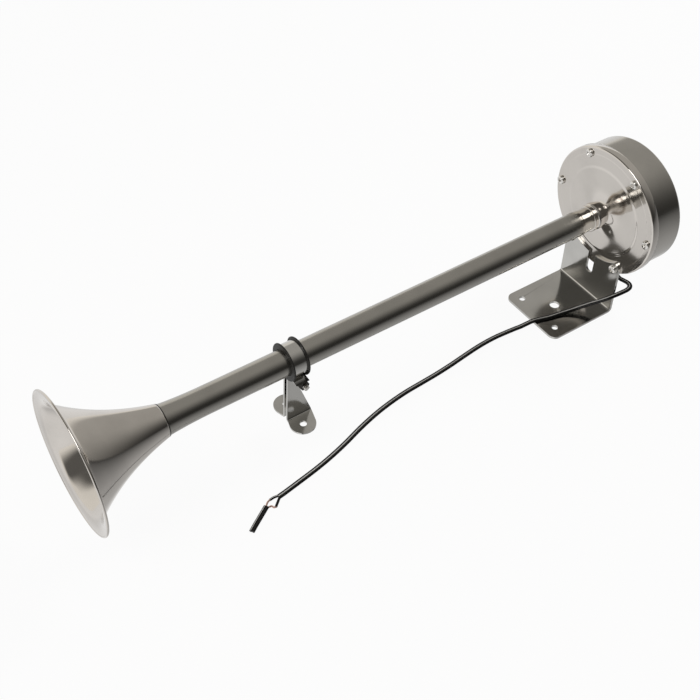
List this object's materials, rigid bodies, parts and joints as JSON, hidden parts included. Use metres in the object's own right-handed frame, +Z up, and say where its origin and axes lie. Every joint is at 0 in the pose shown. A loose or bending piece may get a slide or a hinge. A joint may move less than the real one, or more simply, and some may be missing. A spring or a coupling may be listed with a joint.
{
  "type": "trumpet horn",
  "caption": "Electric marine trumpet horn: flared bell on a long tube, round driver, sheet bracket, clamped front support and a bare-ended twin cable.",
  "frame": {"origin": "on the surface that the bracket stands on, under the middle of the horn without its cable", "axes": "+X along the trumpet from the bell's mouth towards the driver, +Z up, -Y the side seen in the picture"},
  "size_m": [0.47, 0.1062, 0.1328],
  "materials": {
    "polished_steel": "mirror-polished stainless sheet",
    "brushed_steel": "stainless brushed along its length or round its side",
    "satin_steel": "satin stainless sheet with bright cut edges",
    "screw_steel": "bright stainless screws",
    "dark_steel": "dull, darkened nut",
    "black_rubber": "matt black rubber",
    "black_pvc": "satin black cable sheath",
    "copper": "bare copper strands",
    "gasket_fibre": "pressed gasket",
    "diaphragm_steel": "spring steel sheet",
    "cast_body": "painted iron casting",
    "magnet_iron": "soft iron",
    "bobbin_plastic": "moulded bobbin",
    "coil_copper": "enamelled copper wire",
    "phenolic": "brown phenolic insulator",
    "contact_brass": "spring brass",
    "contact_metal": "tungsten contact",
    "ceramic_block": "ceramic resistor body",
    "lead_red": "insulated lead"
  },
  "bodies": {
    "horn": {"bell": "polished_steel", "joint_seal": "black_rubber", "trumpet_tube": "brushed_steel", "throat_nipple": "polished_steel", "neck_ring": "polished_steel", "neck_collar": "polished_steel", "front_plate": "polished_steel", "plate_screws": "screw_steel", "bracket_screws": "screw_steel", "mounting_bracket": "satin_steel", "front_gasket": "gasket_fibre", "diaphragm": "diaphragm_steel", "rear_gasket": "gasket_fibre", "driver_body": "cast_body", "drum": "brushed_steel", "drum_seal": "black_rubber", "drum_screw": "screw_steel", "drum_washer": "black_rubber", "pole_core": "magnet_iron", "core_nut": "screw_steel", "coil_bobbin": "bobbin_plastic", "coil_winding": "coil_copper", "contact_base": "phenolic", "contact_spacer": "phenolic", "contact_screws": "contact_brass", "fixed_contact_arm": "contact_brass", "fixed_contact_tip": "contact_metal", "adjuster_lock_nut": "screw_steel", "suppressor": "ceramic_block", "terminal_strip": "phenolic", "terminal_screws": "contact_brass", "inner_leads": "lead_red", "cable_gland": "black_rubber", "cord": "black_pvc", "split_cores": "black_pvc", "bare_wires": "copper", "cord_tail": "black_pvc"},
    "support": {"support_grommet": "black_rubber"},
    "strap": {"support_strap": "brushed_steel", "clamp_screw": "screw_steel", "clamp_nut": "dark_steel"},
    "armature": {"armature": "magnet_iron", "armature_stud": "screw_steel", "striker_pin": "phenolic"},
    "breaker": {"contact_leaf": "contact_brass", "moving_contact_tip": "contact_metal"},
    "adjuster": {"adjusting_screw": "screw_steel"}
  },
  "joints": [
    {"name": "support_slide", "type": "slide", "parent": "horn", "child": "support", "axis": [1, 0, 0], "range_m": [-0.04, 0.18]},
    {"name": "strap_swivel", "type": "hinge", "parent": "support", "child": "strap", "pos_m": [-0.0745, 0, 0.0814], "axis": [1, 0, 0], "range_deg": [-90, 90]},
    {"name": "armature_pull", "type": "slide", "parent": "horn", "child": "armature", "axis": [1, 0, 0], "range_m": [0, 0.0004], "stiffness_N_per_m": 3000, "deforming": ["diaphragm"]},
    {"name": "breaker_open", "type": "hinge", "parent": "horn", "child": "breaker", "pos_m": [0.21225, -0.011, 0.1105], "axis": [0, 0, -1], "range_deg": [0, 1.5], "deforming": ["contact_leaf"]},
    {"name": "adjuster_turn", "type": "hinge", "parent": "horn", "child": "adjuster", "pos_m": [0.2215, 0.0172, 0.1121], "axis": [1, 0, 0], "range_deg": [-180, 180]}
  ],
  "couplings": [
    {"joint": "breaker_open", "follows": "armature_pull", "rad_per_m": 58.824}
  ]
}
